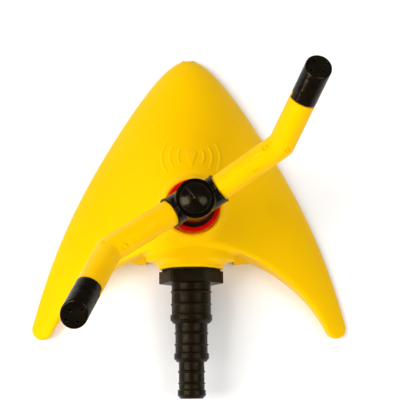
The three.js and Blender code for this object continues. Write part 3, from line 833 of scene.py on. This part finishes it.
def yellow_moulding():
    """Satin moulded base: slow changes of tone, a fine mould grain and a few specks and hairlines."""
    look = Look("yellow_plastic", (0.4, 0.52, 60), 0.16, YELLOW_TINT)
    tone = look.blend(look.fade(look.noise(16, 3.0), 0.3, 0.7), YELLOW_LIGHT, YELLOW_DEEP)
    stains = look.fade(look.noise(45, 4.0), 0.55, 0.8, 0, 0.3)
    grime = look.times(stains, look.fade(look.noise(700), 0.5, 0.75))
    tone = look.blend(grime, tone, (0.55, 0.27, 0.01))
    look.colour(look.blend(look.fade(look.noise(1300, 1.0), 0.77, 0.82, 0, 0.6), tone, (0.3, 0.14, 0.01)))
    look.relief(look.noise(1500, 3.0), 0.02)
    look.relief(look.noise(55, 2.0), 0.12)
    hairline = look.noise(1, 2.0, look.stretched((1100, 35, 300)))
    look.relief(look.fade(hairline, 0.68, 0.76, 1, 0), 0.006)
    return look.made


def yellow_tube():
    """The arms: drawn pipe with long scratches, rubbed patches and small nicks that hold dirt."""
    look = Look("yellow_pipe", (0.38, 0.54, 180), 0.16, YELLOW_TINT, along=True)
    tone = look.blend(look.fade(look.noise(40, 3.0), 0.3, 0.7), (0.94, 0.53, 0.0), (0.9, 0.49, 0.0))
    scratch = look.noise(1, 3.0, look.stretched((70, 1500, 1500)))
    patch = look.fade(look.noise(70, 2.0), 0.42, 0.62)
    pale = look.times(look.fade(scratch, 0.6, 0.7, 0, 0.4), patch)
    tone = look.blend(pale, tone, (0.98, 0.68, 0.06))
    drag = look.noise(1, 3.0, look.stretched((110, 1100, 1300)))
    tone = look.blend(look.times(look.fade(drag, 0.62, 0.72, 0, 0.5), patch), tone, (0.62, 0.3, 0.0))
    nick = look.noise(1, 2.0, look.stretched((300, 900, 900)))
    tone = look.blend(look.fade(nick, 0.76, 0.8, 0, 0.8), tone, (0.2, 0.09, 0.01))
    look.colour(tone)
    look.relief(look.fade(nick, 0.7, 0.77, 1, 0), 0.12)
    look.relief(scratch, 0.05)
    look.relief(look.noise(140, 3.0), 0.16)
    return look.made


def red_moulding():
    look = Look("red_plastic", (0.3, 0.45, 400), 0.3, (1.0, 0.25, 0.12))
    tone = look.blend(look.fade(look.noise(150, 3.0), 0.3, 0.7), (0.68, 0.001, 0.0), (0.54, 0.001, 0.0))
    look.colour(look.blend(look.fade(look.noise(900, 1.0), 0.7, 0.78, 0, 0.5), tone, (0.12, 0.002, 0.001)))
    look.relief(look.noise(1600, 3.0), 0.03)
    look.relief(look.noise(260, 2.0), 0.08)
    return look.made


def gloss_moulding():
    """Shiny black: slight sink marks, hairlines and a dusting of pale specks."""
    look = Look("gloss_black_plastic", (0.13, 0.28, 220), 0.2, WARM_TINT)
    clouds = look.fade(look.noise(90, 4.0), 0.35, 0.7)
    tone = look.blend(clouds, (0.0016, 0.001, 0.0004), (0.005, 0.0032, 0.0013))
    dust = look.fade(look.noise(1700, 1.0), 0.73, 0.8, 0, 0.45)
    look.colour(look.blend(dust, tone, (0.07, 0.05, 0.03)))
    look.relief(look.noise(110, 2.0), 0.3)
    look.relief(look.noise(300, 3.0), 0.14)
    look.relief(look.fade(look.noise(1, 2.0, look.stretched((150, 1500, 700))), 0.66, 0.74, 1, 0), 0.02)
    return look.made


def matt_moulding():
    """The hose connector: brown-black, with a sparked mould texture and rubbed high spots."""
    look = Look("matt_black_plastic", (0.3, 0.46, 350), 0.13, WARM_TINT)
    clouds = look.fade(look.noise(120, 4.0), 0.3, 0.7)
    tone = look.blend(clouds, (0.0022, 0.0011, 0.0003), (0.006, 0.0035, 0.0012))
    high_spots = look.fade(look.noise(900, 3.0), 0.52, 0.7, 0, 0.6)
    rubbed = look.times(high_spots, look.fade(look.noise(60), 0.4, 0.65))
    look.colour(look.blend(rubbed, tone, (0.02, 0.013, 0.006)))
    look.relief(look.noise(1500, 4.0), 0.09)
    look.relief(look.noise(500, 2.0), 0.08)
    return look.made


def rubber_look():
    look = Look("seal_rubber", (0.6, 0.8, 500), 0.25, WARM_TINT)
    clouds = look.fade(look.noise(300, 3.0), 0.35, 0.7)
    look.colour(look.blend(clouds, (0.006, 0.006, 0.006), (0.016, 0.015, 0.014)))
    look.relief(look.noise(2000, 2.0), 0.03)
    return look.made


def waxy_look(name, light, dark):
    look = Look(name, (0.3, 0.48, 350), 0.4, (1.0, 1.0, 0.95))
    look.colour(look.blend(look.fade(look.noise(200, 3.0), 0.3, 0.7), light, dark))
    turning = look.noise(1, 2.0, look.stretched((120, 120, 2500)))
    look.relief(turning, 0.03)
    return look.made


def paper_look():
    look = Look("floor_paper", (0.85, 0.95, 30), 0.2, (1.0, 1.0, 1.0))
    look.colour(look.blend(look.fade(look.noise(8, 3.0), 0.3, 0.7), (0.93, 0.93, 0.925), (0.9, 0.9, 0.895)))
    look.relief(look.noise(600, 3.0), 0.02)
    return look.made


yellow = yellow_moulding()
yellow_pipe = yellow_tube()
red = red_moulding()
gloss_black = gloss_moulding()
matt_black = matt_moulding()
rubber = rubber_look()
white_washer = waxy_look("white_washer", (0.82, 0.81, 0.76), (0.7, 0.69, 0.64))
acetal = waxy_look("spindle_plastic", (0.74, 0.71, 0.63), (0.62, 0.59, 0.51))

# The pieces inside the swivel keep their CAD shapes.
for material, nodes in (
    (rubber, ("inlet_gasket", "riser_seal", "dome_seal", "arm_seal_right", "arm_seal_left",
              "nozzle_seal_right", "nozzle_seal_left")),
    (white_washer, ("upper_thrust_washer", "lower_thrust_washer")),
    (acetal, ("spindle", "spindle_clip")),
):
    for node in nodes:
        frame["nodes"][node].material_slots[0].material = material

# ---------------------------------------------------------------- pieces
points, faces, normals = skin(base_field, *base_grid())
points[:, 1] = np.minimum(points[:, 1], NOSE_Y)
add_piece("wing_base", points, faces, yellow, "base", ["base_shell"], normals)

arm_low, arm_high = span("arm_right")
arm_grid = [steps(arm_low[k] - 1.5, arm_high[k] + 1.5, ARM_STEP) for k in range(3)]
points, faces, normals = skin(arm_field, *arm_grid)
for side, turn, shift in (("right", None, 0), ("left", HALF_TURN, 200)):
    add_piece(
        "bent_pipe_" + side, points, faces, yellow_pipe, "head", ["arm_" + side],
        normals, turn, along_pipe(points) + (shift, 0, 0),
    )

cap_grid = (
    steps(PIPE_END - 1, FACE_AT + 5.5, CAP_STEP),
    steps(-PIPE_R - 1, PIPE_R + 1, CAP_STEP),
    steps(-PIPE_R - 1, PIPE_R + 1, CAP_STEP),
)
points, faces, normals = skin(cap_field, *cap_grid)
for side, turn in (("right", OUTER), ("left", HALF_TURN @ OUTER)):
    add_piece(
        "nozzle_" + side, points, faces, gloss_black, "nozzle_" + side, ["nozzle_cap_" + side],
        normals, turn,
    )

hub_low, hub_high = span("head_hub")
hub_grid = [steps(hub_low[k] - 1.2, hub_high[k] + 1.2, HUB_STEP) for k in range(3)]
points, faces, normals = skin(hub_field, *hub_grid)
add_piece("hub_body", points, faces, gloss_black, "head", ["head_hub"], normals)

dome_low, dome_high = span("dome_cap")
dome_grid = [steps(dome_low[k] - 1.5, dome_high[k] + 1.5, DOME_GRID_STEP) for k in range(3)]
points, faces, normals = skin(dome_field, *dome_grid)
add_piece("dome_plug", points, faces, gloss_black, "head", ["dome_cap"], normals)

INLET = Matrix.Translation((0, 0, INLET_Z)) @ Matrix.Rotation(math.pi / 2, 4, "X")
points, faces = turned(rounded(tail_outline(), 0.35), 180, tail_shape)
add_piece(
    "hose_tail", points, faces, matt_black, "base", ["hose_connector"], turn=INLET,
)

nut_outline = [
    (RISER_R + GAP, NUT_BOTTOM), (NUT_R, NUT_BOTTOM), (NUT_R, NUT_TOP), (NUT_WINDOW_R, NUT_TOP),
    (NUT_WINDOW_R, NUT_TOP - NUT_LIP), (RISER_R + GAP, NUT_TOP - NUT_LIP),
]
points, faces = turned(rounded(nut_outline, 0.4), 504, nut_shape)
add_piece("ring_nut", points, faces, red, "base", ["lock_nut"], turn=SPIN_AXIS)

flange_bottom = RISER_TOP + 2 * GAP + SEAL_THICK
flange_top = flange_bottom + BUSH_FLANGE_T
bush_outline = [
    (SPINDLE_R + GAP, BUSH_BOTTOM), (BUSH_R, BUSH_BOTTOM), (BUSH_R, flange_bottom), (RISER_R, flange_bottom),
    (RISER_R, flange_top), (NUT_WINDOW_R - GAP, flange_top), (NUT_WINDOW_R - GAP, BUSH_TOP - BUSH_STEP),
    (BUSH_STEP_R, BUSH_TOP - BUSH_STEP), (BUSH_STEP_R, BUSH_TOP), (SPINDLE_R + GAP, BUSH_TOP),
]
points, faces = turned(rounded(bush_outline, 0.25), 128)
add_piece(
    "bush_ring", points, faces, gloss_black, "base", ["swivel_bush"], turn=SPIN_AXIS,
)

# ---------------------------------------------------------------- stage
CAMERA_PLACE = Vector((-41, -119, 889)) * MM
CAMERA_TARGET = Vector((11.95, 12.6, 0)) * MM
CAMERA_ROLL = math.radians(-0.45)
FOCAL_PIXELS = 1423
IMAGE_PIXELS = 416
SENSOR_WIDTH = 36
FLOOR_HALF = 3.0
SKY_STRENGTH = 0.2

floor_mesh = bpy.data.meshes.new("floor")
floor_corners = [
    (-FLOOR_HALF, -FLOOR_HALF, 0), (FLOOR_HALF, -FLOOR_HALF, 0),
    (FLOOR_HALF, FLOOR_HALF, 0), (-FLOOR_HALF, FLOOR_HALF, 0),
]
floor_mesh.from_pydata(floor_corners, [], [(0, 1, 2, 3)])
floor = bpy.data.objects.new("floor", floor_mesh)
floor_mesh.materials.append(paper_look())
bpy.context.scene.collection.objects.link(floor)

world = bpy.data.worlds.new("studio")
bpy.context.scene.world = world
world.use_nodes = True
world.node_tree.nodes["Background"].inputs["Color"].default_value = (1, 1, 1, 1)
world.node_tree.nodes["Background"].inputs["Strength"].default_value = SKY_STRENGTH


def softbox(name, place, size, power, mirrored=True):
    light = bpy.data.lights.new(name, "AREA")
    light.shape = "RECTANGLE"
    light.size, light.size_y = size
    light.energy = power
    made = bpy.data.objects.new(name, light)
    made.location = place
    made.visible_glossy = mirrored
    made.rotation_mode = "QUATERNION"
    made.rotation_quaternion = (-Vector(place)).to_track_quat("-Z", "Y")
    bpy.context.scene.collection.objects.link(made)


softbox("left_box", (-0.95, -0.1, 0.9), (0.7, 0.9), 15.5)
softbox("right_box", (0.8, -0.1, 1.1), (0.6, 0.8), 6.4)
softbox("back_fill", (0, 1.2, 1.6), (1.2, 0.8), 9, mirrored=False)
softbox("front_fill", (0, -1.3, 0.6), (1.4, 0.5), 9, mirrored=False)

camera_data = bpy.data.cameras.new("camera")
camera_data.sensor_width = SENSOR_WIDTH
camera_data.lens = SENSOR_WIDTH * FOCAL_PIXELS / IMAGE_PIXELS
camera = bpy.data.objects.new("camera", camera_data)
camera.location = CAMERA_PLACE
camera.rotation_mode = "QUATERNION"
backward = (CAMERA_PLACE - CAMERA_TARGET).normalized()
rightward = Vector((0, 1, 0)).cross(backward).normalized()
upward = backward.cross(rightward)
level_camera = Matrix((rightward, upward, backward)).transposed()
camera.rotation_quaternion = (Matrix.Rotation(CAMERA_ROLL, 3, backward) @ level_camera).to_quaternion()
camera_data.clip_start = 0.01
camera_data.clip_end = 20
bpy.context.scene.collection.objects.link(camera)
bpy.context.scene.camera = camera
bpy.context.scene.view_settings.view_transform = "Standard"
